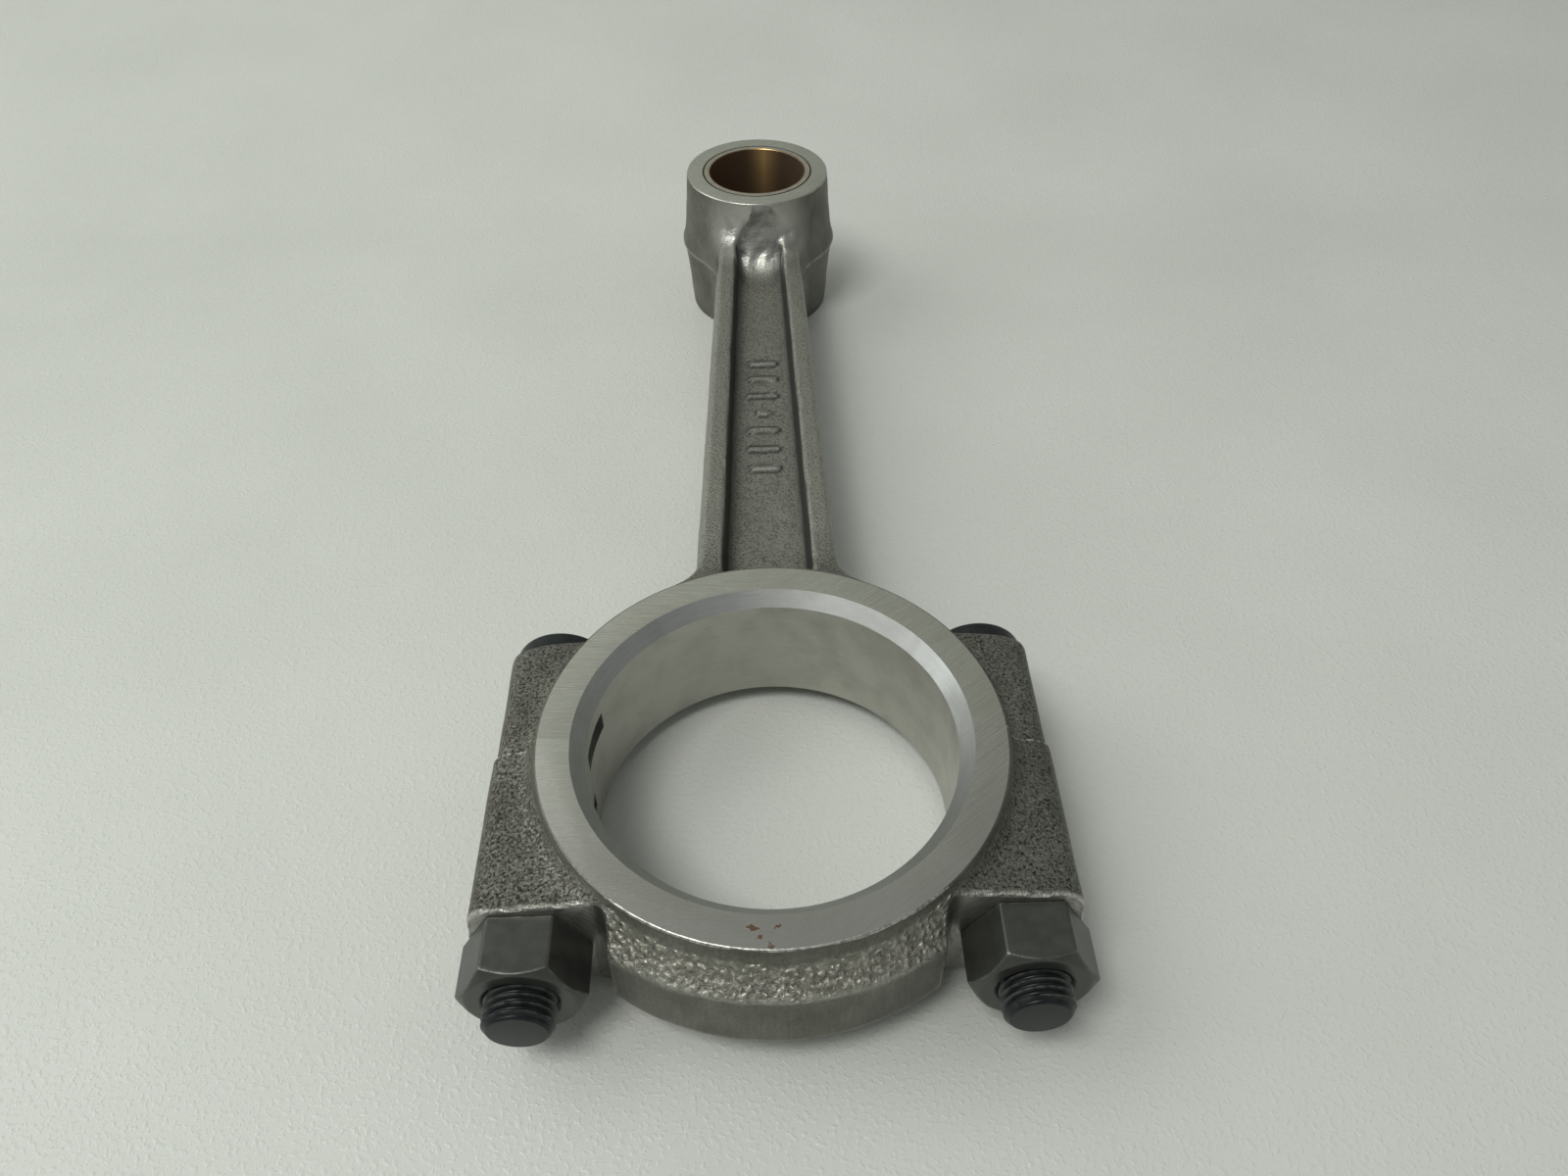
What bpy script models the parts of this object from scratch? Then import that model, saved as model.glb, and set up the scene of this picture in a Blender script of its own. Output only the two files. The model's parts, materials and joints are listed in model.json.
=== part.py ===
"""Connecting rod for a small reciprocating compressor or engine.

The rod lies on its side: X runs across the two bolts, +Y from the big end to the
small end and +Z up along both bore axes.  The origin is the middle of the bottom
of the bounding box.  Lengths are in metres.
"""
import math

import bmesh
import bpy
from mathutils import Vector

MM = 0.001

# ---- driving dimensions -------------------------------------------------------
CENTRES = 186.2 * MM            # big-end bore to small-end bore

BIG_WIDTH = 27.4 * MM           # big end, face to face
BIG_BORE_R = 30.7 * MM
BIG_FACE_R = 38.7 * MM          # outer edge of the ground ring
BIG_CHAMFER_R = 33.0 * MM       # where the bore's chamfer meets the ring
BIG_CHAMFER_DEPTH = 2.5 * MM
FORGE_DRAFT = math.radians(3.0)

SMALL_WIDTH = 37.7 * MM
EYE_FACE_R = 18.8 * MM
EYE_FLASH_R = 21.0 * MM         # widest, at the forging's mid-plane
EYE_BAND = 4.5 * MM             # half height of the bulge along the flash line
BUSH_R = 14.3 * MM
BUSH_BORE_R = 12.7 * MM
BUSH_CHAMFER = 0.5 * MM

BOLT_X = 38.3 * MM              # bolt axis to rod axis
BOLT_R = 5.556 * MM
BOLT_TIP_R = 4.67 * MM
BOLT_TIP_Y = -43.3 * MM         # measured from the big-end bore axis, as every _Y here
HEAD_R = 9.1 * MM
HEAD_THICK = 4.9 * MM
HEAD_EDGE = 0.7 * MM            # chamfer round the head's outer face
HEAD_FLAT = 6.8 * MM            # bolt axis to the head's flat, which faces the ring
HEAD_SEAT_Y = 24.0 * MM
NUT_FLATS = 17.46 * MM
NUT_HEIGHT = 9.4 * MM
NUT_SEAT_Y = -29.2 * MM
NUT_CHAMFER_R = 8.4 * MM        # the chamfer's circle on the nut's outer face
NUT_CHAMFER = 1.1 * MM
NUT_MOUTH = 0.6 * MM            # countersink at each end of the nut's thread

BOSS_SIDE_X = 47.2 * MM         # widest, at the mid-plane
BOSS_INNER_X = 20.0 * MM        # buried in the ring
BOSS_CROWN_X = 28.0 * MM        # the boss's faces slope down outward from here
BOSS_HALF = 11.25 * MM          # half height beside the ring
BOSS_HALF_OUT = 10.2 * MM       # half height where the outer rounding starts
CROWN_R = 42.85 * MM            # the cap's mid-plane rib
CROWN_HALF = 6.0 * MM
CROWN_CUT_X = 25.2 * MM         # the rib stops here, beside each nut

BEAM_BIG_Y = 51.0 * MM
BEAM_HALF_BIG = 13.1 * MM       # half width over the flanges at BEAM_BIG_Y
BEAM_SMALL_Y = 148.0 * MM
BEAM_HALF_SMALL = 10.6 * MM     # half width over the flanges at BEAM_SMALL_Y
BEAM_RISE = 8.5 * MM            # half height of the flanges
BEAM_DRAFT = 1.0 * MM           # flange side, face to mid-plane
FLANGE_TOP = 4.3 * MM           # flange width on top
WEB_HALF = 2.8 * MM
POCKET_DRAFT = 1.0 * MM
POCKET_BIG_Y = 46.0 * MM        # the open pocket runs between these two
POCKET_SMALL_Y = 157.5 * MM
POCKET_RAMP = 8.0 * MM
RING_FILLET = 10.0 * MM         # in plan, where the beam meets the ring
EYE_FILLET = 6.0 * MM           # and where it meets the eye

NOTCH_LENGTH = 9.5 * MM         # shell-tang notches, from the joint face
NOTCH_WIDTH = 3.8 * MM
NOTCH_DEPTH = 1.3 * MM
NOTCH_CUTTER_R = 36.0 * MM
ROD_NOTCH_Z = 4.4 * MM          # each notch's lower side, from the mid-plane
CAP_NOTCH_Z = -5.4 * MM

GAP = 0.3 * MM                  # clear space between neighbouring solids
OVER = 1.0 * MM                 # how far a cutter runs past what it cuts

# ---- derived places -----------------------------------------------------------
MID_Z = SMALL_WIDTH / 2
BIG_Y = -(CENTRES + EYE_FLASH_R + BOLT_TIP_Y) / 2
SMALL_Y = BIG_Y + CENTRES
BIG_CENTRE = Vector((0, BIG_Y, MID_Z))
SMALL_CENTRE = Vector((0, SMALL_Y, MID_Z))
HALF_BIG = BIG_WIDTH / 2
HALF_SMALL = SMALL_WIDTH / 2
SIDES = {"left": -1, "right": 1}


# ---- helpers ------------------------------------------------------------------
def material(name, color, roughness, metallic):
    mat = bpy.data.materials.new(name)
    mat.use_nodes = True
    shader = mat.node_tree.nodes["Principled BSDF"]
    shader.inputs["Base Color"].default_value = (*color, 1.0)
    shader.inputs["Roughness"].default_value = roughness
    shader.inputs["Metallic"].default_value = metallic
    return mat


def add_object(name, bm, mat, origin=Vector()):
    """Link a body modelled in world space, with its origin moved to `origin`."""
    bmesh.ops.translate(bm, verts=bm.verts, vec=-origin)
    mesh = bpy.data.meshes.new(name)
    bm.to_mesh(mesh)
    bm.free()
    if mat:
        mesh.materials.append(mat)
    obj = bpy.data.objects.new(name, mesh)
    obj.location = origin
    bpy.context.scene.collection.objects.link(obj)
    return obj


def guide(name, bm):
    """A body that only Boolean modifiers use."""
    obj = add_object(name, bm, None)
    obj.hide_render = True
    obj.display_type = "WIRE"
    return obj


def combine(target, operation, *tools):
    for tool in tools:
        mod = target.modifiers.new(tool.name, "BOOLEAN")
        mod.operation = operation
        mod.object = tool
        mod.solver = "EXACT"


def loft(sections):
    """Closed body through loops with equal numbers of points."""
    bm = bmesh.new()
    loops = [[bm.verts.new(point) for point in section] for section in sections]
    for near, far in zip(loops, loops[1:]):
        for i, corner in enumerate(near):
            j = (i + 1) % len(near)
            bm.faces.new((corner, near[j], far[j], far[i]))
    bm.faces.new(loops[0][::-1])
    bm.faces.new(loops[-1])
    bmesh.ops.recalc_face_normals(bm, faces=bm.faces)
    for face in bm.faces:
        face.smooth = True
    return bm


def turned(profile, centre, axis, segments, turn=0.0):
    """Solid of revolution; profile is (radius, distance along the axis)."""
    sections = []
    for radius, along in profile:
        ring = []
        for i in range(segments):
            angle = 2 * math.pi * (i + turn) / segments
            across, up = radius * math.cos(angle), radius * math.sin(angle)
            offset = (across, up, along) if axis == "Z" else (across, along, up)
            ring.append(centre + Vector(offset))
        sections.append(ring)
    return loft(sections)


def box(low, high):
    """Box between two corners given from the big-end centre."""
    corners = [(low[0], low[1]), (high[0], low[1]), (high[0], high[1]), (low[0], high[1])]
    return loft([[BIG_CENTRE + Vector((x, y, z)) for x, y in corners] for z in (low[2], high[2])])


def both_ways(upper):
    """Extend (radius, height) points above the mid-plane to those below it."""
    return [(r, -z) for r, z in reversed(upper) if z > 0] + upper


# ---- shapes that the rod and the cap share ------------------------------------
def barrel(name):
    """The big end's ring before boring, widest at the mid-plane."""
    flare = HALF_BIG * math.tan(FORGE_DRAFT)
    profile = both_ways([(BIG_FACE_R + flare, 0.0), (BIG_FACE_R, HALF_BIG)])
    return guide(name, turned(profile, BIG_CENTRE, "Z", 72))


def boss(name, side, low_y, high_y):
    """A bolt boss: crowned faces, and a drafted outer side with rounded edges."""
    upper = [
        (BOSS_INNER_X, BOSS_HALF),
        (BOSS_CROWN_X, BOSS_HALF),
        (BOSS_SIDE_X - 4.0 * MM, BOSS_HALF_OUT),
        (BOSS_SIDE_X - 2.0 * MM, BOSS_HALF_OUT - 0.8 * MM),
        (BOSS_SIDE_X - 1.0 * MM, BOSS_HALF_OUT - 2.4 * MM),
    ]
    outline = upper + [(BOSS_SIDE_X, 0.0)] + [(x, -z) for x, z in reversed(upper)]
    sections = []
    for y in (low_y, high_y):
        sections.append([BIG_CENTRE + Vector((side * x, y, z)) for x, z in outline])
    return guide(name, loft(sections))


def big_bore(name):
    """The bore with a chamfer at both faces."""
    slope = (BIG_CHAMFER_R - BIG_BORE_R) / BIG_CHAMFER_DEPTH
    profile = both_ways([
        (BIG_BORE_R, HALF_BIG - BIG_CHAMFER_DEPTH),
        (BIG_CHAMFER_R + slope * OVER, HALF_BIG + OVER),
    ])
    return guide(name, turned(profile, BIG_CENTRE, "Z", 72))


def bolt_hole(name, side):
    profile = [(BOLT_R + GAP, BOLT_TIP_Y), (BOLT_R + GAP, HEAD_SEAT_Y + HEAD_THICK)]
    centre = BIG_CENTRE + Vector((side * BOLT_X, 0, 0))
    return guide(name, turned(profile, centre, "Y", 24, turn=0.5))


def tang_notch(name, direction, low_z):
    """A shell-tang notch in the -X bore wall; it runs out along a cutter's arc."""
    centre_x = -BIG_BORE_R - NOTCH_DEPTH + NOTCH_CUTTER_R
    steps = 8
    sweep = math.asin(NOTCH_LENGTH / NOTCH_CUTTER_R)
    outline = [(-BIG_BORE_R - NOTCH_DEPTH, -OVER)]
    for i in range(steps + 1):
        angle = sweep * i / steps
        x = centre_x - NOTCH_CUTTER_R * math.cos(angle)
        outline.append((x, NOTCH_CUTTER_R * math.sin(angle)))
    outline.append((-BIG_BORE_R + 5 * MM, NOTCH_LENGTH))
    outline.append((-BIG_BORE_R + 5 * MM, -OVER))
    sections = []
    for z in (low_z, low_z + NOTCH_WIDTH):
        sections.append([BIG_CENTRE + Vector((x, direction * y, z)) for x, y in outline])
    return guide(name, loft(sections))


def space_beyond_joint(name, direction):
    """Everything on one side of the joint face between rod and cap."""
    near, far = direction * GAP / 2, -direction * 60 * MM
    low_y, high_y = min(near, far), max(near, far)
    return guide(name, box((-60 * MM, low_y, -30 * MM), (60 * MM, high_y, 30 * MM)))


# ---- the beam and the eye -----------------------------------------------------
def flare(y, side_x, radius, end_y, end_r):
    """Extra half width where a fillet joins the beam's side to a round end."""
    centre_x = side_x + radius
    reach = math.sqrt((end_r + radius) ** 2 - centre_x ** 2)
    inside = reach - abs(y - end_y)
    touch = reach * radius / (end_r + radius)
    inside = min(max(inside, 0.0), touch)
    return radius - math.sqrt(radius ** 2 - inside ** 2)


def beam_half_width(y):
    """Half width over the flanges; the beam flares into the ring and the eye."""
    along = (y - BEAM_BIG_Y) / (BEAM_SMALL_Y - BEAM_BIG_Y)
    width = BEAM_HALF_BIG + along * (BEAM_HALF_SMALL - BEAM_HALF_BIG)
    width += flare(y, BEAM_HALF_BIG, RING_FILLET, 0.0, BIG_FACE_R)
    return width + flare(y, BEAM_HALF_SMALL, EYE_FILLET, CENTRES, EYE_FACE_R)


def pocket_rise(y):
    """0 along the open pocket, rising smoothly to 1 at each end."""
    past = max(POCKET_BIG_Y - y, y - POCKET_SMALL_Y, 0.0)
    t = min(past / POCKET_RAMP, 1.0)
    return t * t * (3 - 2 * t)


def beam_section(y):
    half = beam_half_width(y)
    inner = beam_half_width(min(max(y, BEAM_BIG_Y), POCKET_SMALL_Y)) - FLANGE_TOP
    web = WEB_HALF + pocket_rise(y) * (BEAM_RISE - WEB_HALF - 0.05 * MM)
    quarter = [
        (half + 0.3 * MM, BEAM_RISE - 0.8 * MM),
        (half - 0.5 * MM, BEAM_RISE),
        (inner, BEAM_RISE),
        (inner - POCKET_DRAFT, web),
    ]
    half_outline = [(half + BEAM_DRAFT, 0.0)] + quarter + [(-x, z) for x, z in reversed(quarter)]
    outline = half_outline + [(-x, -z) for x, z in half_outline]
    return [BIG_CENTRE + Vector((x, y, z)) for x, z in outline]


def beam():
    """The I-section, from inside the ring to inside the eye."""
    stations = [33, 35, 36.5, 38, 40, 42, 44, 46, 51, 75, 100, 125, 148, 157.5]
    stations += [159.5, 161.5, 163.5, 165.5, 167, 168.5, 170, 171.5, 174]
    return loft([beam_section(station * MM) for station in stations])


def eye(name):
    """The small end before boring: drafted both ways from a bulging flash band."""
    profile = both_ways([
        (EYE_FLASH_R, 0.0),
        (EYE_FLASH_R - 0.5 * MM, EYE_BAND),
        (EYE_FACE_R + 0.9 * MM, EYE_BAND + 2.0 * MM),
        (EYE_FACE_R, HALF_SMALL),
    ])
    return guide(name, turned(profile, SMALL_CENTRE, "Z", 60))


# ---- the pieces ---------------------------------------------------------------
def rod_body(mat):
    """Forged beam and eye with the upper half of the big end."""
    obj = add_object("rod_body", beam(), mat)
    combine(obj, "UNION", eye("eye_blank"), barrel("rod_barrel"))
    hole_r = BUSH_R + GAP / 2
    bush_hole = turned([(hole_r, -SMALL_WIDTH), (hole_r, SMALL_WIDTH)], SMALL_CENTRE, "Z", 48)
    for tag, side in SIDES.items():
        combine(obj, "UNION", boss("rod_boss_" + tag, side, -OVER, HEAD_SEAT_Y - GAP / 2))
    combine(obj, "DIFFERENCE", space_beyond_joint("cap_side", 1), big_bore("rod_bore"),
            guide("bush_hole", bush_hole), tang_notch("rod_notch", 1, ROD_NOTCH_Z))
    for tag, side in SIDES.items():
        combine(obj, "DIFFERENCE", bolt_hole("rod_hole_" + tag, side))
    return obj


def rod_cap(mat):
    """The lower half of the big end, with a stiffening rib round its crown."""
    rib = both_ways([
        (CROWN_R, CROWN_HALF - 0.8 * MM),
        (CROWN_R - 0.7 * MM, CROWN_HALF),
        (40.2 * MM, CROWN_HALF + 1.65 * MM),
        (39.1 * MM, CROWN_HALF + 3.55 * MM),
        (36.0 * MM, CROWN_HALF + 4.05 * MM),
    ])
    obj = add_object("rod_cap", turned(rib, BIG_CENTRE, "Z", 72), mat, BIG_CENTRE)
    for tag, side in SIDES.items():
        near, far = side * CROWN_CUT_X, side * 60 * MM
        low = (min(near, far), -60 * MM, -30 * MM)
        high = (max(near, far), NUT_SEAT_Y + GAP / 2, 30 * MM)
        combine(obj, "UNION", boss("cap_boss_" + tag, side, NUT_SEAT_Y - OVER, 2 * OVER))
        combine(obj, "DIFFERENCE", guide("nut_seat_" + tag, box(low, high)))
    combine(obj, "UNION", barrel("cap_barrel"))
    combine(obj, "DIFFERENCE", space_beyond_joint("rod_side", -1), big_bore("cap_bore"),
            tang_notch("cap_notch", -1, CAP_NOTCH_Z))
    for tag, side in SIDES.items():
        combine(obj, "DIFFERENCE", bolt_hole("cap_hole_" + tag, side))
    return obj


def small_end_bush(mat):
    """Pressed-in plain bearing, chamfered at both ends of its bore."""
    outer = both_ways([
        (BUSH_R - GAP / 2, HALF_SMALL - BUSH_CHAMFER),
        (BUSH_R - GAP / 2 - BUSH_CHAMFER / 2, HALF_SMALL),
    ])
    bore = both_ways([
        (BUSH_BORE_R, HALF_SMALL - BUSH_CHAMFER),
        (BUSH_BORE_R + BUSH_CHAMFER + OVER, HALF_SMALL + OVER),
    ])
    obj = add_object("small_end_bush", turned(outer, SMALL_CENTRE, "Z", 48), mat)
    combine(obj, "DIFFERENCE", guide("bush_bore", turned(bore, SMALL_CENTRE, "Z", 48)))
    return obj


def bolt(tag, side, mat):
    """Rod bolt with a round head, flatted where it locks against the ring."""
    seat = HEAD_SEAT_Y + GAP / 2
    profile = [
        (BOLT_TIP_R, BOLT_TIP_Y),
        (BOLT_R, BOLT_TIP_Y + 0.9 * MM),
        (BOLT_R, seat),
        (HEAD_R, seat),
        (HEAD_R, seat + HEAD_THICK - HEAD_EDGE),
        (HEAD_R - HEAD_EDGE, seat + HEAD_THICK),
    ]
    axis_point = BIG_CENTRE + Vector((side * BOLT_X, 0, 0))
    obj = add_object("bolt_" + tag, turned(profile, axis_point, "Y", 32, turn=0.5), mat, axis_point)
    near, far = side * (BOLT_X - HEAD_FLAT), side * (BOLT_X - 2 * HEAD_R)
    low = (min(near, far), seat - OVER, -2 * HEAD_R)
    high = (max(near, far), seat + 2 * HEAD_THICK, 2 * HEAD_R)
    combine(obj, "DIFFERENCE", guide("head_flat_" + tag, box(low, high)))
    return obj


def nut(tag, side, mat):
    """Hexagon nut, one flat up: chamfered on its outer end, countersunk at both."""
    centre = BIG_CENTRE + Vector((side * BOLT_X, NUT_SEAT_Y - GAP / 2 - NUT_HEIGHT / 2, 0))
    half = NUT_HEIGHT / 2
    corner_r = NUT_FLATS / math.sqrt(3)
    hexagon = turned([(corner_r, -half), (corner_r, half)], centre, "Y", 6)
    obj = add_object("nut_" + tag, hexagon, mat, centre)
    wide = corner_r + 0.3 * MM
    cone = [(NUT_CHAMFER_R, -half), (wide, NUT_CHAMFER - half), (wide, half + OVER)]
    hole = both_ways([
        (BOLT_R + GAP, half - NUT_MOUTH),
        (BOLT_R + GAP + NUT_MOUTH + OVER, half + OVER),
    ])
    combine(obj, "INTERSECT", guide("nut_cone_" + tag, turned(cone, centre, "Y", 48)))
    combine(obj, "DIFFERENCE", guide("nut_thread_" + tag, turned(hole, centre, "Y", 24, turn=0.5)))
    return obj


def clear_scene():
    for obj in list(bpy.data.objects):
        bpy.data.objects.remove(obj, do_unlink=True)


def main():
    clear_scene()
    forging = material("forged_steel", (0.115, 0.112, 0.100), 0.55, 0.85)
    bearing = material("bearing_bronze", (0.30, 0.20, 0.09), 0.30, 1.0)
    black_oxide = material("black_oxide", (0.045, 0.052, 0.052), 0.40, 0.8)
    rod_body(forging)
    rod_cap(forging)
    small_end_bush(bearing)
    for tag, side in SIDES.items():
        bolt(tag, side, black_oxide)
        nut(tag, side, black_oxide)


main()
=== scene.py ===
"""Looks of the connecting rod: forged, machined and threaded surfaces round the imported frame."""
import json
import math

import bmesh
import bpy
import numpy as np
from mathutils import Matrix, Vector

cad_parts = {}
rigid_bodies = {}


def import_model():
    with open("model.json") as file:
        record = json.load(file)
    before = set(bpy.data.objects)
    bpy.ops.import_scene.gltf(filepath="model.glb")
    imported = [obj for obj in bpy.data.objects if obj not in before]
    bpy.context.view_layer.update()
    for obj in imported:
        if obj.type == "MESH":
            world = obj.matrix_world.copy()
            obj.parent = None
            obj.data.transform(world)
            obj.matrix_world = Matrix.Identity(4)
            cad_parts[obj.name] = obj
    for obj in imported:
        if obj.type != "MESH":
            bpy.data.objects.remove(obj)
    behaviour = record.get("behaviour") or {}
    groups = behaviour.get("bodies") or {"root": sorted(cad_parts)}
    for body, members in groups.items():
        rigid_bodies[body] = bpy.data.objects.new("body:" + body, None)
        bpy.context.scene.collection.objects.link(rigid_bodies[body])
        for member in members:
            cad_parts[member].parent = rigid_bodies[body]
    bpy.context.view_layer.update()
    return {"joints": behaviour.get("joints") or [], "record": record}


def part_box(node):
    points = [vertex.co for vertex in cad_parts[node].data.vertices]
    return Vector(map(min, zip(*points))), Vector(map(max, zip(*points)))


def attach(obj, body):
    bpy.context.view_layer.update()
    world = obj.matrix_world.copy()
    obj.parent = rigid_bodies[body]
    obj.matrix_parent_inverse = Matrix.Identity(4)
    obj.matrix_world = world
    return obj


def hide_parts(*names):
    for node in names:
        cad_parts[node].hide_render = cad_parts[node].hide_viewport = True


for leftover in list(bpy.data.objects):
    bpy.data.objects.remove(leftover)
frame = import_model()

MM = 0.001

# ---- places and sizes read from the frame, in millimetres -----------------------
# Shapes are modelled in millimetres from the middle of the big-end bore.
OPENINGS = {o["name"]: o["box_m"] for o in frame["record"]["physics"]["openings"]}
JOINTS = {j["name"]: j for j in frame["joints"]}


def box_centre(corners):
    return (Vector(corners[0]) + Vector(corners[1])) / 2


def size_of(node):
    low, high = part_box(node)
    return (high - low) / MM


BIG = box_centre(OPENINGS["crankpin_bore"])
SMALL = box_centre(OPENINGS["wrist_pin_bore"])
CENTRES = (SMALL.y - BIG.y) / MM
HALF_BIG = size_of("rod_cap").z / 2
HALF_SMALL = size_of("small_end_bush").z / 2
BOLT_X = abs(JOINTS["nut_left_spin"]["pos_m"][0]) / MM
NUT_FLATS = size_of("nut_left").z
BOLT_TIP_Y = (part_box("bolt_left")[0].y - BIG.y) / MM
PITCH = 2 * math.pi / frame["record"]["behaviour"]["couplings"][0]["ratio"] / MM

# ---- sizes of the finished surfaces, in millimetres ------------------------------
BIG_BORE_R = 30.7
BIG_FACE_R = 38.7
BIG_CHAMFER_R = 33.0
BIG_CHAMFER_DEPTH = 2.5
FACE_EDGE = 0.35                # rounding of a ground face's outer edge
FACE_STOCK = 1.5                # forging above a face, before it is machined
FORGE_DRAFT = math.radians(3.0)
RIPPLE = 0.08                   # unevenness of the forged skins
CLEAN_UP = 0.03                 # how much forging a cutter takes off where it only cleans a seat

EYE_FACE_R = 18.8
EYE_FLASH_R = 21.0
EYE_DRAFT = math.radians(4.0)
EYE_BAND = 3.6                  # height over which the eye swells towards its flash
BUSH_R = 14.3
BUSH_LINING_R = 13.0            # where the steel back ends and the bronze starts
BUSH_BORE_R = 12.7
BUSH_BREAK = 0.10               # edge breaks of the lining and of the back
BACK_BREAK = 0.11
BUSH_HIGHLIGHT_ANGLE = math.radians(81)  # where round the lining the painted highlight runs

BOLT_R = 5.556
BOLT_ROOT_R = 4.80
BOLT_TIP_R = 4.67
BOLT_HOLE_R = BOLT_R + 0.3
THREAD_LENGTH = 21.0
HEAD_R = 8.6
HEAD_THICK = 3.5
HEAD_ROUND = 0.8                # rounding of the head's outer rim
HEAD_FLAT = 6.8                 # bolt axis to the head's flat, which faces the ring
HEAD_SEAT_Y = 24.9
HEAD_CUT_X = 31.3               # inner wall of the relief beside the head
NUT_HEIGHT = 9.5
NUT_SEAT_Y = -29.2
NUT_CHAMFER_R = 8.35
NUT_CHAMFER = math.radians(36.0)

ROD_SIDE_X = 46.8
CAP_SIDE_X = 47.25
BOSS_HALF = 11.25
BOSS_CROWN_X = 28.0             # where a boss's upper face starts to slope down
BOSS_SLOPE = math.radians(5.5)
BOSS_DRAFT = math.radians(6.0)
BOSS_END_X, BOSS_END_R = 38.7, 14.0  # where a boss's end starts to fall back, and its curve
CROWN_R = 43.1                  # the rib round the cap
CROWN_HALF = 6.2
CROWN_SLOPE = math.radians(30.0)
CROWN_END_SLOPE = math.radians(44.0)
CROWN_CUT_X = 25.2              # inner wall of the relief beside the nut
SEAT_FILLET = 2.4
SEAT_BREAK = 0.5

BEAM_BIG_Y, BEAM_HALF_BIG = 51.0, 13.1
BEAM_SMALL_Y, BEAM_HALF_SMALL = 148.0, 10.6
BEAM_RISE = 8.5
BEAM_DRAFT = math.radians(6.7)
RING_FLARE_Y, RING_FLARE_R = 47.6, 10.7  # where the beam starts to spread, and its curve
RING_FLARE_LENGTH = 6.8
FLANGE_BIG, FLANGE_SMALL = 4.5, 4.1
WEB_HALF = 2.8
POCKET_DRAFT = math.radians(9.0)
POCKET_TO_BIG, POCKET_TO_SMALL = 39.6, 20.2  # radius round each bore where the pocket ends

TALLY_COUNT, TALLY_STEP, TALLY_MIDDLE_Y = 7, 6.5, 100.0

NOTCH_LENGTH = 9.5
NOTCH_WIDTH = 3.8
NOTCH_DEPTH = 1.3
NOTCH_CUTTER_R = 36.0
ROD_NOTCH_Z = 4.4
CAP_NOTCH_Z = -5.4

JOINT_GAP = 0.02


# ---- distance fields for the forgings --------------------------------------------
def round_and(a, b, radius):
    """Overlap of two fields, with its outer corner rounded."""
    outside = np.hypot(np.maximum(a + radius, 0), np.maximum(b + radius, 0))
    return np.minimum(np.maximum(a, b), -radius) + outside


def round_or(a, b, radius):
    """Union of two fields, with a fillet in the corner between them."""
    return -round_and(-a, -b, radius)


def ripple(x, y, z, amount):
    """Slow unevenness of a forged skin."""
    wave = np.sin(0.61 * x + 1.3 * np.sin(0.23 * y) + 0.4 * z)
    wave = wave + np.sin(0.47 * y + 1.7 * np.sin(0.31 * z + 0.19 * x) + 2.0)
    wave = wave + np.sin(0.83 * z + 0.9 * np.sin(0.41 * x - 0.2 * y) + 4.0)
    return amount * wave / 3


def barrel_field(radius, height):
    side = (radius - BIG_FACE_R - (HALF_BIG - height) * math.tan(FORGE_DRAFT)) * math.cos(FORGE_DRAFT)
    return np.maximum(side, height - HALF_BIG - FACE_STOCK)


def boss_field(across, y, height, side_x, low_y, high_y, corner):
    """Boss round one bolt; across and height are distances from the rod's two mid-planes."""
    face = height - BOSS_HALF + np.maximum(across - BOSS_CROWN_X, 0) * math.tan(BOSS_SLOPE)
    side = (across - side_x + height * math.tan(BOSS_DRAFT)) * math.cos(BOSS_DRAFT)
    fall = BOSS_END_R - np.sqrt(BOSS_END_R ** 2 - np.clip(across - BOSS_END_X, 0, 11) ** 2)
    plan = round_and(side, np.maximum(y - high_y + fall, low_y - y), corner)
    return np.maximum(round_and(face, plan, 2.6), 20.0 - across)


def beam_half_width(y):
    along = (y - BEAM_BIG_Y) / (BEAM_SMALL_Y - BEAM_BIG_Y)
    return BEAM_HALF_BIG + along * (BEAM_HALF_SMALL - BEAM_HALF_BIG)


def ring_flare(y):
    """Extra half width where the beam spreads towards the ring."""
    inside = np.clip(RING_FLARE_Y - y, 0, RING_FLARE_LENGTH)
    return RING_FLARE_R - np.sqrt(RING_FLARE_R ** 2 - inside ** 2)


def beam_field(across, y, height):
    """Beam without its pockets; it runs on inside the ring and the eye."""
    side = across - beam_half_width(y) - ring_flare(y) - (BEAM_RISE - height) * math.tan(BEAM_DRAFT)
    section = round_and(side * math.cos(BEAM_DRAFT), height - BEAM_RISE, 1.1)
    return np.maximum(section, np.maximum(32.0 - y, y - CENTRES + 12.0))


def pocket_half_width(y, height):
    along = (y - BEAM_BIG_Y) / (BEAM_SMALL_Y - BEAM_BIG_Y)
    flange = FLANGE_BIG + along * (FLANGE_SMALL - FLANGE_BIG)
    return beam_half_width(y) - flange - (BEAM_RISE - height) * math.tan(POCKET_DRAFT)


def pocket_field(across, y, height, from_big, from_small):
    side = across - pocket_half_width(y, height)
    floor = WEB_HALF - height
    floor = round_and(floor, POCKET_TO_SMALL - from_small, 8.0)
    floor = round_and(floor, POCKET_TO_BIG - from_big, 6.0)
    return round_and(floor, side * math.cos(POCKET_DRAFT), 1.6)


def eye_field(radius, height):
    """Small end: two drafted halves that swell towards the flash between them."""
    bulge = EYE_FLASH_R - 0.35 - EYE_FACE_R - HALF_SMALL * math.tan(EYE_DRAFT)
    bulge = bulge * np.exp(-np.sqrt((height / EYE_BAND) ** 2 + 0.02) + 0.14)
    side = radius - EYE_FACE_R - (HALF_SMALL - height) * math.tan(EYE_DRAFT) - bulge
    return np.maximum(side * math.cos(EYE_DRAFT), height - HALF_SMALL - FACE_STOCK)


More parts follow.
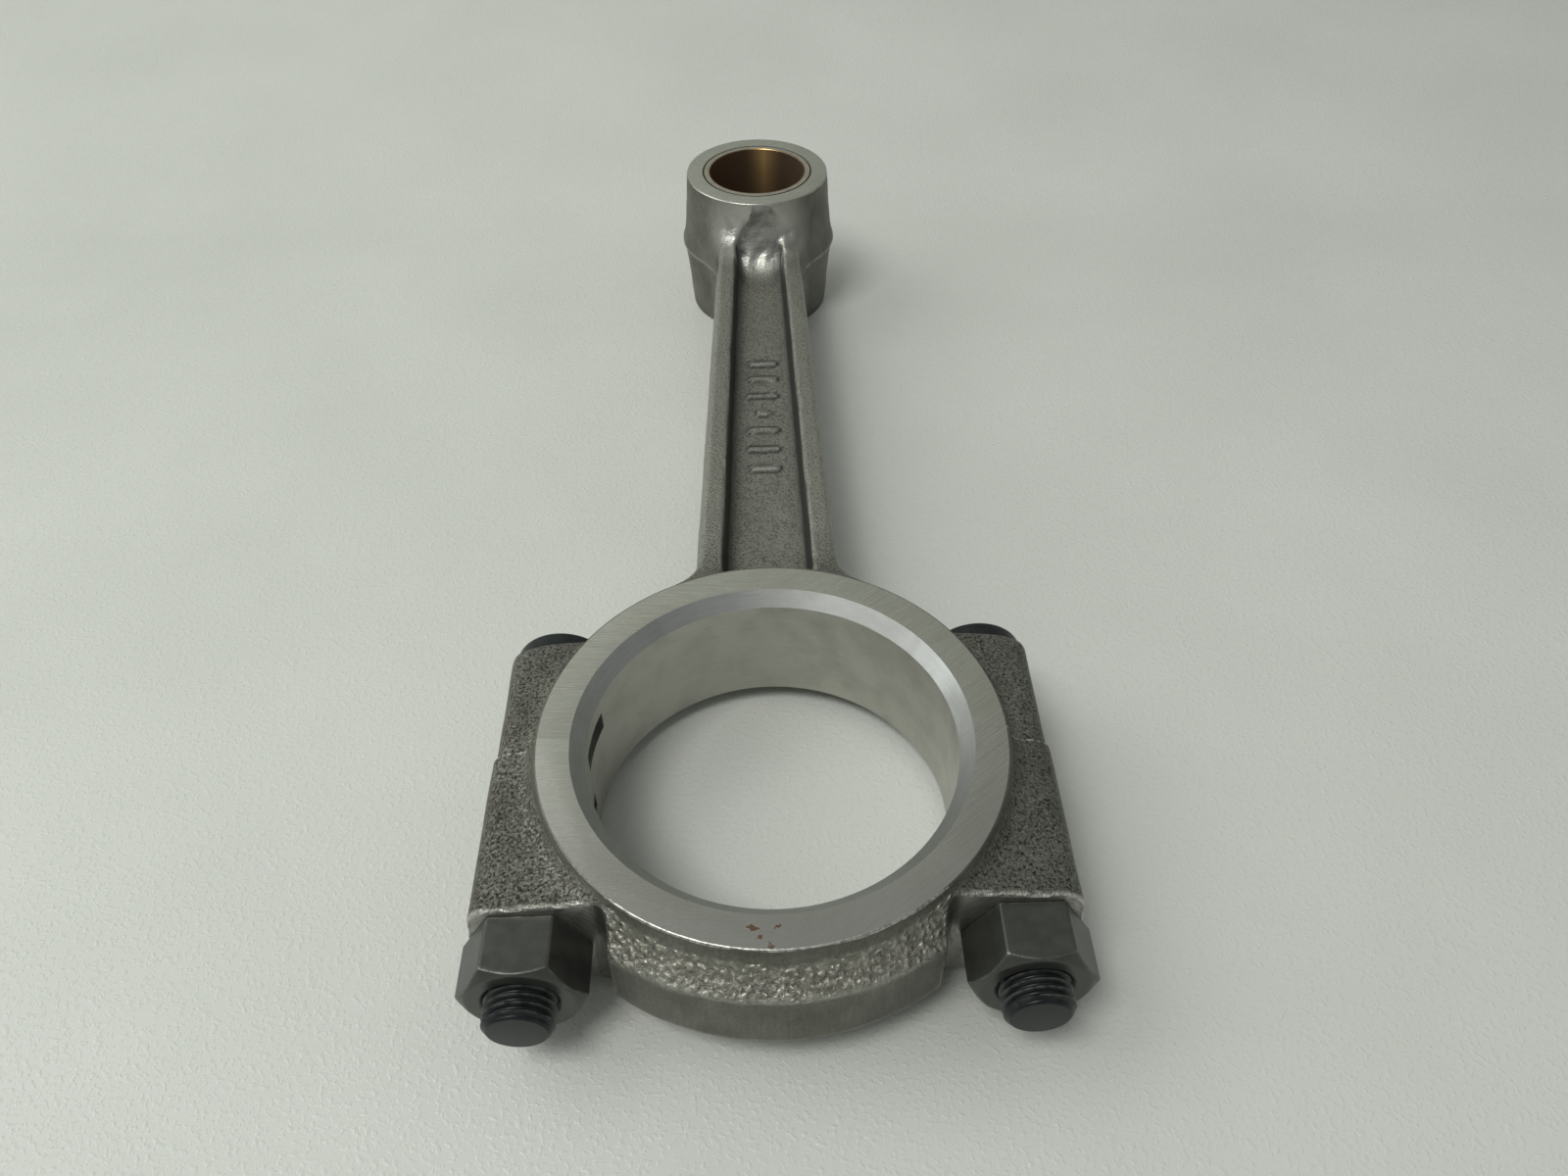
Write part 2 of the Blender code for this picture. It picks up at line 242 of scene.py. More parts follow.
def crown_field(across, radius, height):
    """Rib round the cap; its flanks rise to the ring's faces, steeper towards its ends."""
    side = radius - CROWN_R + 0.02 * height
    slope = CROWN_SLOPE + (CROWN_END_SLOPE - CROWN_SLOPE) * np.minimum(across / CROWN_CUT_X, 1.0) ** 2
    face = (height - CROWN_HALF - (CROWN_R - radius) * np.tan(slope)) * np.cos(slope)
    return np.maximum(round_and(side, face, 0.7), height - HALF_BIG - 1.3)


def flash_ridge(z):
    """Trimmed flash left all round at the parting plane of the dies."""
    return 0.25 * np.exp(-(z / 0.8) ** 2)


def tally_field(x, y, z):
    """Generic raised forging marks on the upper web: bars across it, the middle one short."""
    marks = np.full_like(x, 1e3)
    for i in range(TALLY_COUNT):
        from_middle = i - TALLY_COUNT // 2
        length = 2.6 if from_middle else 0.9
        off = np.abs(y - TALLY_MIDDLE_Y - TALLY_STEP * from_middle)
        reach = np.hypot(np.maximum(np.abs(x) - length, 0), np.maximum(off - 0.25, 0))
        marks = np.minimum(marks, reach - 0.6)
    return np.maximum(marks, np.abs(z - WEB_HALF) - 0.45)


def rod_field(x, y, z):
    across, height = np.abs(x), np.abs(z)
    from_big, from_small = np.hypot(x, y), np.hypot(x, y - CENTRES)
    bosses = boss_field(across, y, height, ROD_SIDE_X, -9.0, HEAD_SEAT_Y + 0.3, 1.2)
    ring = np.maximum(round_or(barrel_field(from_big, height), bosses, 2.0), -2.5 - y)
    beam = beam_field(across, y, height)
    body = round_or(ring, beam, 8.0)
    body = round_or(body, eye_field(from_small, height), 5.0)
    pocket = pocket_field(across, y, height, from_big, from_small)
    body = round_and(body, -pocket, 0.8)
    body = round_or(body, tally_field(x, y, z), 0.35)
    body = body + ripple(x, y, z, RIPPLE) - flash_ridge(z)
    relief = round_and(HEAD_CUT_X + CLEAN_UP - across, HEAD_SEAT_Y + CLEAN_UP - y, 0.4)
    return round_and(body, -np.maximum(relief, y - 40), SEAT_BREAK)


def cap_field(x, y, z):
    across, height = np.abs(x), np.abs(z)
    from_big = np.hypot(x, y)
    bosses = boss_field(across, y, height, CAP_SIDE_X, NUT_SEAT_Y - 2.0, 9.0, 2.0)
    ring = round_or(barrel_field(from_big, height), crown_field(across, from_big, height), 3.0)
    body = round_or(ring, bosses, 2.0) + ripple(x, y, z, RIPPLE)
    relief = round_and(CROWN_CUT_X + CLEAN_UP - across, y - NUT_SEAT_Y + CLEAN_UP, SEAT_FILLET)
    return np.maximum(round_and(body, -relief, SEAT_BREAK), y - 2.5)


# ---- meshing a field -------------------------------------------------------------
def surface_net(field, low, high, step):
    """Vertices and quads of the field's zero surface, snapped onto it."""
    axes = [np.arange(a, b + step, step, dtype=np.float32) for a, b in zip(low, high)]
    x, y, z = np.meshgrid(*axes, indexing="ij", sparse=True)
    shape = tuple(len(a) for a in axes)
    value = np.empty(shape, np.float32)
    for i in range(0, shape[0], 24):
        slab = np.broadcast_arrays(x[i:i + 24], y, z)
        value[i:i + 24] = field(*slab)
    cells = tuple(n - 1 for n in shape)
    total = np.zeros((*cells, 3), np.float32)
    count = np.zeros(cells, np.float32)
    crossings = []
    for axis in range(3):
        near = [slice(None)] * 3
        far = [slice(None)] * 3
        near[axis], far[axis] = slice(0, -1), slice(1, None)
        a, b = value[tuple(near)], value[tuple(far)]
        hit = np.argwhere((a < 0) != (b < 0))
        others = [k for k in range(3) if k != axis]
        keep = np.all((hit[:, others] > 0) & (hit[:, others] < np.array(shape)[others] - 1), axis=1)
        hit = hit[keep]
        va, vb = a[tuple(hit.T)], b[tuple(hit.T)]
        point = hit.astype(np.float32)
        point[:, axis] += va / (va - vb)
        around = []
        for du, dv in ((-1, -1), (0, -1), (0, 0), (-1, 0)):
            cell = hit.copy()
            cell[:, others[0]] += du
            cell[:, others[1]] += dv
            np.add.at(total, tuple(cell.T), point)
            np.add.at(count, tuple(cell.T), 1)
            around.append(np.ravel_multi_index(tuple(cell.T), cells))
        quads = np.stack(around, axis=1)
        flip = (va < 0) == (axis != 1)
        quads[~flip] = quads[~flip][:, ::-1]
        crossings.append(quads)
    used = count.ravel() > 0
    number = np.cumsum(used) - 1
    points = total.reshape(-1, 3)[used] / count.ravel()[used][:, None]
    points = points * step + np.array([a[0] for a in axes])
    quads = number[np.concatenate(crossings)]
    return snap(points.astype(np.float64), field, step), quads


def snap(points, field, step):
    """Move points along the gradient until the field is zero there."""
    nudge = 0.02
    for _ in range(4):
        value = field(*points.T)
        slope = np.empty_like(points)
        for axis in range(3):
            offset = np.zeros(3)
            offset[axis] = nudge
            slope[:, axis] = (field(*(points + offset).T) - field(*(points - offset).T)) / (2 * nudge)
        length = np.maximum((slope ** 2).sum(axis=1), 0.25)
        move = -value[:, None] * slope / length[:, None]
        points = points + np.clip(move, -0.4 * step, 0.4 * step)
    return points


def local_to_world(points):
    return np.asarray(points, float) * MM + np.array(BIG)


def mesh_from_arrays(name, points, faces):
    mesh = bpy.data.meshes.new(name)
    width = faces.shape[1]
    mesh.vertices.add(len(points))
    mesh.vertices.foreach_set("co", local_to_world(points).ravel())
    mesh.loops.add(faces.size)
    mesh.loops.foreach_set("vertex_index", faces.ravel().astype(np.int32))
    mesh.polygons.add(len(faces))
    mesh.polygons.foreach_set("loop_start", np.arange(0, faces.size, width, dtype=np.int32))
    mesh.update(calc_edges=True)
    mesh.validate()
    return mesh


def link(name, data):
    obj = bpy.data.objects.new(name, data)
    bpy.context.scene.collection.objects.link(obj)
    return obj


def link_bmesh(name, bm):
    mesh = bpy.data.meshes.new(name)
    bm.to_mesh(mesh)
    bm.free()
    return link(name, mesh)


# ---- cutters ---------------------------------------------------------------------
def loft(name, sections):
    """Closed body through loops of equal length, given in local millimetres."""
    bm = bmesh.new()
    loops = [[bm.verts.new(p) for p in local_to_world(section)] for section in sections]
    for near, far in zip(loops, loops[1:]):
        for i, corner in enumerate(near):
            j = (i + 1) % len(near)
            bm.faces.new((corner, near[j], far[j], far[i]))
    bm.faces.new(loops[0][::-1])
    bm.faces.new(loops[-1])
    bmesh.ops.recalc_face_normals(bm, faces=bm.faces)
    return link_bmesh(name, bm)


def circle_points(radius, segments):
    angles = 2 * np.pi * np.arange(segments) / segments
    return radius * np.cos(angles), radius * np.sin(angles)


def turned(name, profile, centre, axis, segments):
    """Solid of revolution; profile is (radius, distance along the axis)."""
    sections = []
    for radius, along in profile:
        u, v = circle_points(radius, segments)
        w = np.full(segments, along)
        ring = np.stack((u, v, w) if axis == "Z" else (u, w, v), axis=1)
        sections.append(ring + np.array(centre))
    return loft(name, sections)


def prism(name, outline, low_z, high_z):
    """Upright solid over an outline of (x, y) points."""
    return loft(name, [[(x, y, z) for x, y in outline] for z in (low_z, high_z)])


def block(name, low, high):
    outline = [(low[0], low[1]), (high[0], low[1]), (high[0], high[1]), (low[0], high[1])]
    return prism(name, outline, low[2], high[2])


def both_ways(upper):
    """Profile mirrored about the mid-plane."""
    return [(r, -z) for r, z in reversed(upper) if z > 0] + upper


def boolean(obj, operation, *tools):
    """Apply cutters to a mesh object, then remove them."""
    for tool in tools:
        mod = obj.modifiers.new(tool.name, "BOOLEAN")
        mod.operation = operation
        mod.object = tool
        mod.solver = "MANIFOLD"
        graph = bpy.context.evaluated_depsgraph_get()
        mesh = bpy.data.meshes.new_from_object(obj.evaluated_get(graph), depsgraph=graph)
        obj.modifiers.clear()
        old, obj.data = obj.data, mesh
        bpy.data.meshes.remove(old)
        bpy.data.objects.remove(tool)
    return obj


def arc(centre, radius, start, end, steps):
    """Points along an arc; angles in degrees."""
    angles = np.radians(np.linspace(start, end, steps))
    return [(centre[0] + radius * math.cos(a), centre[1] + radius * math.sin(a)) for a in angles]


def revolve(name, profile, centre, axis, segments):
    """Closed body from a closed (radius, distance along the axis) outline that clears the axis."""
    radius, along = np.array(profile).T
    u, v = circle_points(1.0, segments)
    ru, rv = np.outer(u, radius), np.outer(v, radius)
    w = np.broadcast_to(along, ru.shape)
    points = np.stack((ru, rv, w) if axis == "Z" else (ru, w, rv), axis=2).reshape(-1, 3)
    count = len(profile)
    i, j = np.meshgrid(np.arange(segments), np.arange(count), indexing="ij")
    ni, nj = (i + 1) % segments, (j + 1) % count
    quads = np.stack((i * count + j, ni * count + j, ni * count + nj, i * count + nj), axis=2)
    return link(name, mesh_from_arrays(name, points + np.array(centre), quads.reshape(-1, 4)))


def outward(obj):
    """Turn a closed mesh so that its faces point out."""
    bm = bmesh.new()
    bm.from_mesh(obj.data)
    if bm.calc_volume(signed=True) < 0:
        bmesh.ops.reverse_faces(bm, faces=bm.faces)
        bm.to_mesh(obj.data)
    bm.free()
    return obj


# ---- machining -------------------------------------------------------------------
def facing(face_r, half, centre_y, reach, end):
    """Cut that levels one end face and rounds its outer edge."""
    profile = arc((face_r - FACE_EDGE, half - FACE_EDGE), FACE_EDGE, 90, 22, 5)
    profile += [(face_r + 0.5 * FACE_EDGE, half - 2 * FACE_EDGE), (reach, half - 2 * FACE_EDGE)]
    profile += [(reach, half + 8)]
    if end < 0:
        profile = [(r, -z) for r, z in reversed(profile)]
    return turned("facing", profile, (0, centre_y, 0), "Z", 256)


def big_bore():
    profile = both_ways([(BIG_BORE_R, HALF_BIG - BIG_CHAMFER_DEPTH), (BIG_CHAMFER_R, HALF_BIG),
                         (BIG_CHAMFER_R + 4.0, HALF_BIG + 4.0)])
    return turned("big_bore", profile, (0, 0, 0), "Z", 256)


def bolt_hole(side):
    return turned("bolt_hole", [(BOLT_HOLE_R, -50), (BOLT_HOLE_R, 40)], (side * BOLT_X, 0, 0), "Y", 64)


def head_seat(side):
    outline = [(HEAD_CUT_X, HEAD_SEAT_Y), (60, HEAD_SEAT_Y), (60, 40), (HEAD_CUT_X, 40)]
    outline = [(side * x, y) for x, y in outline]
    return prism("head_seat", outline, -20, 20)


def nut_seat(side):
    corner = arc((CROWN_CUT_X + SEAT_FILLET, NUT_SEAT_Y - SEAT_FILLET), SEAT_FILLET, 180, 90, 9)
    outline = [(CROWN_CUT_X, -60)] + corner + [(60, NUT_SEAT_Y), (60, -60)]
    outline = [(side * x, y) for x, y in outline]
    return prism("nut_seat", outline, -20, 20)


def tang_notch(direction, low_z):
    """Slot left by a disc cutter in the -X bore wall, for the tang of a bearing shell."""
    centre_x = NOTCH_CUTTER_R - BIG_BORE_R - NOTCH_DEPTH
    sweep = math.degrees(math.asin(NOTCH_LENGTH / NOTCH_CUTTER_R))
    outline = [(-BIG_BORE_R - NOTCH_DEPTH, -1.0)]
    outline += arc((centre_x, 0), NOTCH_CUTTER_R, 180, 180 - sweep, 9)
    outline += [(5 - BIG_BORE_R, NOTCH_LENGTH), (5 - BIG_BORE_R, -1.0)]
    return prism("tang_notch", [(x, direction * y) for x, y in outline], low_z, low_z + NOTCH_WIDTH)


def machine_rod(obj):
    cuts = [block("parting", (-70, -60, -30), (70, JOINT_GAP / 2, 30)), big_bore()]
    cuts += [facing(BIG_FACE_R, HALF_BIG, 0, 56, end) for end in (-1, 1)]
    cuts += [facing(EYE_FACE_R, HALF_SMALL, CENTRES, 30, end) for end in (-1, 1)]
    seat_r = BUSH_R + 0.02
    bush_seat = [(seat_r, HALF_SMALL - 0.3), (seat_r + 0.3, HALF_SMALL), (seat_r + 3, HALF_SMALL + 3)]
    cuts.append(turned("bush_seat", both_ways(bush_seat), (0, CENTRES, 0), "Z", 192))
    for side in (-1, 1):
        cuts += [head_seat(side), bolt_hole(side)]
    cuts.append(tang_notch(1, ROD_NOTCH_Z))
    return boolean(obj, "DIFFERENCE", *cuts)


def machine_cap(obj):
    cuts = [block("parting", (-70, -JOINT_GAP / 2, -30), (70, 60, 30)), big_bore()]
    cuts += [facing(BIG_FACE_R, HALF_BIG, 0, 56, end) for end in (-1, 1)]
    for side in (-1, 1):
        cuts += [nut_seat(side), bolt_hole(side)]
    cuts.append(tang_notch(-1, CAP_NOTCH_Z))
    return boolean(obj, "DIFFERENCE", *cuts)


# ---- threads ---------------------------------------------------------------------
def thread_profile():
    """(phase along one pitch, radius) of the bolt's 60 degree thread."""
    flank = (BOLT_R - BOLT_ROOT_R) * math.tan(math.radians(30)) / PITCH
    root = 1 - 0.125 - 2 * flank
    crest = BOLT_R - 0.03
    return [(0.0, crest - 0.04), (0.03, crest), (0.095, crest), (0.125, crest - 0.04),
            (0.125 + 0.5 * flank, (BOLT_R + BOLT_ROOT_R) / 2),
            (0.125 + flank, BOLT_ROOT_R + 0.04), (0.125 + flank + root / 2, BOLT_ROOT_R),
            (0.125 + flank + root, BOLT_ROOT_R + 0.04),
            (1 - 0.5 * flank, (BOLT_R + BOLT_ROOT_R) / 2)]


def thread(name, side, start_y, end_y, grow=0.0, smallest=0.0, segments=72):
    """Right-hand thread along -Y; the rows of its mesh follow the helix."""
    profile = thread_profile()
    per_turn = len(profile)
    rows = (math.ceil((start_y - end_y) / PITCH) + 1) * per_turn
    height = rows + per_turn + 1
    i, j = np.meshgrid(np.arange(segments), np.arange(height), indexing="ij")
    phase = np.array([p for p, _ in profile])[j % per_turn] + j // per_turn
    radius = np.maximum(np.array([r for _, r in profile])[j % per_turn] + grow, smallest)
    first = math.ceil(-start_y / PITCH) - 1
    angle = 2 * np.pi * i / segments
    y = -PITCH * (first + phase + i / segments)
    x, z = side * BOLT_X + radius * np.cos(angle), radius * np.sin(angle)
    points = np.stack((x, y, z), axis=2)
    a, b = np.meshgrid(np.arange(segments - 1), np.arange(rows), indexing="ij")
    here, beside = a * height + b, (a + 1) * height + b
    strips = np.stack((here, beside, beside + 1, here + 1), 2).reshape(-1, 4)
    b = np.arange(rows)
    last = (segments - 1) * height + b
    closing = np.stack((last, b + per_turn, b + per_turn + 1, last + 1), 1)
    quads = np.concatenate((strips, closing))
    bm = bmesh.new()
    verts = [bm.verts.new(p) for p in local_to_world(points.reshape(-1, 3))]
    for quad in quads:
        bm.faces.new([verts[k] for k in quad])
    for row, middle_y in ((0, y[0, 0]), (rows, y[-1, rows])):
        loop = [verts[k * height + row] for k in range(segments)]
        loop += [verts[row + k] for k in range(per_turn, 0, -1)]
        centre = bm.verts.new(local_to_world([(side * BOLT_X, middle_y, 0)])[0])
        for k, vert in enumerate(loop):
            bm.faces.new((vert, loop[(k + 1) % len(loop)], centre))
    loose = [v for v in bm.verts if not v.link_faces]
    bmesh.ops.delete(bm, geom=loose, context="VERTS")
    bmesh.ops.recalc_face_normals(bm, faces=bm.faces)
    return outward(link_bmesh(name, bm))


def make_bolt(name, side):
    """Bolt with its thread cut to a bevelled tip, a filleted round head and the head's flat."""
    centre = (side * BOLT_X, 0, 0)
    thread_end = BOLT_TIP_Y + THREAD_LENGTH
    clear_r, tip_round = BOLT_R + 0.2, 0.25
    envelope = arc((BOLT_TIP_R - tip_round, BOLT_TIP_Y + tip_round), tip_round, -90, -45, 4)
    envelope += [(clear_r, BOLT_TIP_Y + 0.1 + clear_r - BOLT_TIP_R), (clear_r, thread_end + 1)]
    envelope += [(BOLT_ROOT_R - 0.3, thread_end + 2)]
    bolt = thread(name, side, thread_end + 4, BOLT_TIP_Y - 3)
    boolean(bolt, "INTERSECT", turned("envelope", envelope, centre, "Y", 144))
    shank_r, fillet = BOLT_R - 0.05, 0.6
    head_y = HEAD_SEAT_Y + HEAD_THICK
    head = [(BOLT_ROOT_R - 0.2, thread_end - 0.4), (shank_r, thread_end + 0.6)]
    head += arc((shank_r + fillet, HEAD_SEAT_Y - fillet), fillet, 180, 90, 4)
    head += [(HEAD_R - 0.25, HEAD_SEAT_Y + 0.01), (HEAD_R, HEAD_SEAT_Y + 0.3)]
    head += arc((HEAD_R - HEAD_ROUND, head_y - HEAD_ROUND), HEAD_ROUND, 0, 90, 7)
    head += [(HEAD_R - 2.2, head_y)]
    shank = turned("shank", head, centre, "Y", 144)
    flat_x = sorted((side * (BOLT_X - HEAD_FLAT), side * (BOLT_X - HEAD_R - 5)))
    flat = block("flat", (flat_x[0], HEAD_SEAT_Y - 0.5, -12), (flat_x[1], head_y + 3, 12))
    boolean(shank, "DIFFERENCE", flat)
    return boolean(bolt, "UNION", shank)


def nut_field(side):
    """Hexagon with rounded corners, a turned chamfer at its outer end and a countersunk hole."""
    def field(x, y, z):
        dx = x - side * BOLT_X
        forward = NUT_SEAT_Y - NUT_HEIGHT / 2 - y
        along = np.abs(forward)
        radius = np.hypot(dx, z)
        flats = np.abs(z) - NUT_FLATS / 2
        for turn in (60, -60):
            c, s = math.cos(math.radians(turn)), math.sin(math.radians(turn))
            flats = round_and(flats, np.abs(z * c + dx * s) - NUT_FLATS / 2, 0.24)
        chamfer = (radius - NUT_CHAMFER_R) * math.sin(NUT_CHAMFER)
        chamfer = chamfer + (forward - NUT_HEIGHT / 2) * math.cos(NUT_CHAMFER)
        body = round_and(flats, chamfer, 0.15)
        body = round_and(body, along - NUT_HEIGHT / 2, 0.15)
        sink = (radius - 6.1) + (NUT_HEIGHT / 2 - along)
        hole = np.minimum(sink * math.sqrt(0.5), radius - 5.0)
        return round_and(body, -hole, 0.12)
    return field


def make_nut(name, side):
    low = (side * BOLT_X - 10.8, NUT_SEAT_Y - NUT_HEIGHT - 0.8, -9.6)
    high = (side * BOLT_X + 10.8, NUT_SEAT_Y + 0.8, 9.6)
    points, quads = surface_net(nut_field(side), low, high, 0.28)
    nut = outward(link(name, mesh_from_arrays(name, points, quads)))
    tap = thread("tap", side, NUT_SEAT_Y + 4, NUT_SEAT_Y - NUT_HEIGHT - 4, grow=0.07, smallest=4.95)
    return boolean(nut, "DIFFERENCE", tap)


def make_forging(name, field, low, high, step):
    points, quads = surface_net(field, low, high, step)
    return outward(link(name, mesh_from_arrays(name, points, quads)))


# ---- materials -------------------------------------------------------------------
class Look:
    """A node material; textures are laid out in millimetres from the big-end axis."""

    def __init__(self, name, **shader):
        self.material = bpy.data.materials.new(name)
        self.material.use_nodes = True
        self.tree = self.material.node_tree
        self.shader = self.tree.nodes["Principled BSDF"]
        for key, value in shader.items():
            self.shader.inputs[key.replace("_", " ")].default_value = value
        coordinates = self.node("ShaderNodeTexCoord").outputs["Object"]
        self.place = self.node("ShaderNodeMapping", {"Vector": coordinates, "Location": -BIG / MM,
                                                     "Scale": (1 / MM,) * 3}).outputs[0]

    def node(self, kind, inputs=None, **settings):
        node = self.tree.nodes.new(kind)
        for key, value in settings.items():
            setattr(node, key, value)
        for key, value in (inputs or {}).items():
            socket = node.inputs[key]
            if isinstance(value, bpy.types.NodeSocket):
                self.tree.links.new(value, socket)
            else:
                socket.default_value = value
        return node

    def set(self, socket, value):
        self.tree.links.new(value, self.shader.inputs[socket])

    def math(self, operation, a, b=0.0, c=0.0):
        return self.node("ShaderNodeMath", {0: a, 1: b, 2: c}, operation=operation).outputs[0]

    def times(self, a, b):
        return self.math("MULTIPLY", a, b)

    def plus(self, a, b):
        return self.math("ADD", a, b)

    def minus(self, a, b):
        return self.math("SUBTRACT", a, b)

    def split(self, place=None):
        return self.node("ShaderNodeSeparateXYZ", {0: place or self.place}).outputs

    def stretched(self, place, scale):
        return self.node("ShaderNodeMapping", {"Vector": place, "Scale": scale}).outputs[0]

    def turned_place(self, angle, scale):
        turn = {"Vector": self.place, "Rotation": (0, 0, math.radians(angle))}
        return self.stretched(self.node("ShaderNodeMapping", turn).outputs[0], scale)

    def away_from(self, place, point):
        return self.node("ShaderNodeVectorMath", {0: place, 1: point}, operation="DISTANCE").outputs["Value"]

    def round_place(self, centre_x, centre_y, plane="XY"):
        """(radius, angle, height) coordinates about an axis."""
        split = self.split()
        a = self.minus(split["X"], centre_x)
        b = self.minus(split["Y"], centre_y) if plane == "XY" else split["Z"]
        height = split["Z"] if plane == "XY" else split["Y"]
        radius = self.math("SQRT", self.plus(self.times(a, a), self.times(b, b)))
        angle = self.math("ARCTAN2", b, a)
        return self.node("ShaderNodeCombineXYZ", {0: radius, 1: angle, 2: height}).outputs[0]

    def noise(self, size, place=None, detail=3.0, rough=0.5):
        """Noise with features about `size` millimetres across."""
        return self.node("ShaderNodeTexNoise", {"Vector": place or self.place, "Scale": 1 / size,
                                                "Detail": detail, "Roughness": rough}).outputs["Fac"]

    def cells(self, size, place):
        """Soft cells about `size` millimetres across: 0 in the middle of each."""
        return self.node("ShaderNodeTexVoronoi", {"Vector": place, "Scale": 1 / size},
                         feature="SMOOTH_F1").outputs["Distance"]

    def span(self, value, low, high, out_low=0.0, out_high=1.0):
        """Remap a value, held between its two ends."""
        return self.node("ShaderNodeMapRange", {"Value": value, "From Min": low, "From Max": high,
                                                "To Min": out_low, "To Max": out_high}).outputs[0]

    def mix(self, factor, a, b):
        a, b = ((*c, 1) if isinstance(c, tuple) else c for c in (a, b))
        return self.node("ShaderNodeMix", {0: factor, 6: a, 7: b}, data_type="RGBA").outputs[2]

    def bump(self, *layers):
        """Stack of (height, depth in millimetres) layers of relief."""
        normal = None
        for height, depth in layers:
            inputs = {"Height": height, "Distance": depth * MM, "Strength": 1.0}
            if normal:
                inputs["Normal"] = normal
            normal = self.node("ShaderNodeBump", inputs).outputs[0]
        self.set("Normal", normal)

    def stored(self, name):
        """A value that the build stored at each vertex."""
        return self.node("ShaderNodeAttribute", attribute_name=name).outputs["Fac"]


def forged_skin():
    """Shot-blasted forging: gritty, with coarse shiny lumps in places and rubbed outer edges; painted shade
    in the pocket, painted glints on level grain and on the scales, and a painted sheen by the small end.
    """
    look = Look("forged_skin", Metallic=0.85, IOR=1.5)
    hollow, level, painted_shade, wear = (look.stored(name) for name in ("hollow", "level", "painted_shade", "wear"))
    along = look.split()["Y"]
    shank = look.times(look.span(along, 34, 56), look.span(along, 172, 150))
    polish_and_sheen = polish_and_painted_sheen(look)
    rugged = look.times(look.minus(1.0, polish_and_sheen), look.minus(1.0, look.times(shank, 0.45)))

    broad = look.noise(8.0, detail=4)
    grain = look.noise(0.42, detail=3, rough=0.7)
    grit = look.span(look.noise(0.5, detail=3, rough=0.65), 0.36, 0.55)
    streaks = look.noise(0.5, look.stretched(look.place, (1, 1, 0.12)), detail=3)
    warp = look.node("ShaderNodeTexNoise", {"Vector": look.place, "Scale": 1 / 1.6, "Detail": 2.0})
    warped = look.node("ShaderNodeVectorMath", {0: look.place, 1: warp.outputs["Color"]}, operation="ADD")
    scales = look.span(look.cells(0.95, warped.outputs[0]), 0.05, 0.6, 1.0, 0.0)

    base = look.mix(look.span(broad, 0.35, 0.65), (0.150, 0.148, 0.125), (0.215, 0.212, 0.183))
    base = look.mix(look.times(shank, 0.55), base, (0.44, 0.435, 0.385))
    base = look.mix(look.span(streaks, 0.35, 0.65, 0.25, 0.0), base, (0.06, 0.06, 0.052))
    pitted = look.times(look.minus(1.0, grit), look.span(level, 0, 1, 0.2, 1.0))
    base = look.mix(look.times(pitted, rugged), base, (0.022, 0.022, 0.019))
    # painted glints: the grain on the level faces is lightened where light would catch it
    painted_glints = look.times(level, look.span(grain, 0.52, 0.75, 0, 0.7))
    base = look.mix(look.times(painted_glints, rugged), base, (0.42, 0.41, 0.37))
    # scales in the hollows and on the crown's flare: a real scaly texture, lightened with painted glints
    scales_and_glints = look.times(hollow, look.span(scales, 0.2, 0.8, 0.25, 0.85))
    base = look.mix(scales_and_glints, base, (0.50, 0.485, 0.42))
    # smooth shiny skin by the small end, lightened with a painted sheen
    base = look.mix(look.times(polish_and_sheen, 0.8), base, (0.48, 0.48, 0.445))
    worn = look.times(wear, look.span(look.noise(1.6), 0.28, 0.52))
    base = look.mix(look.times(worn, look.span(shank, 0, 1, 1.0, 0.6)), base, (0.55, 0.545, 0.50))
    base = look.mix(parting_burr(look, along), base, (0.60, 0.59, 0.54))
    # painted shade: darkens the pocket walls, the pocket floor beside them, its corners by the eye and the
    # creases round the raised marks
    base = look.mix(look.times(painted_shade, 0.85), base, (0.030, 0.032, 0.031))
    look.set("Base Color", base)
    shine = look.plus(look.times(look.math("MAXIMUM", worn, hollow), 0.20), look.times(polish_and_sheen, 0.13))
    look.set("Roughness", look.minus(look.span(grain, 0.3, 0.7, 0.58, 0.44), shine))
    lumps = look.noise(4.2, look.turned_place(35, (1, 0.6, 0.7)), detail=1, rough=0.4)
    look.bump((broad, 0.25), (look.times(polish_and_sheen, lumps), 2.2),
              (look.times(polish_and_sheen, look.noise(0.6, detail=1)), 0.10),
              (look.times(look.times(grit, level), rugged), 0.12),
              (look.times(grain, rugged), 0.10), (look.times(hollow, scales), 0.34))
    return look.material


def polish_and_painted_sheen(look):
    """1 where the beam's flanges run up into the small end, which is smooth and shiny there; the lighter
    colour given there is a painted sheen.
    """
    split = look.split()
    folded = {0: split["X"], 1: split["Y"], 2: look.math("ABSOLUTE", split["Z"])}
    place = look.node("ShaderNodeCombineXYZ", folded).outputs[0]
    return look.span(look.away_from(place, (0, CENTRES - 19.0, 12.0)), 15, 7)


def parting_burr(look, along):
    """Broken bright line where the rod and the cap meet."""
    off = look.math("ABSOLUTE", look.plus(along, look.span(look.noise(1.5), 0, 1, -0.12, 0.12)))
    return look.times(look.span(off, 0.24, 0.10), look.span(look.noise(0.9, detail=2), 0.44, 0.54))


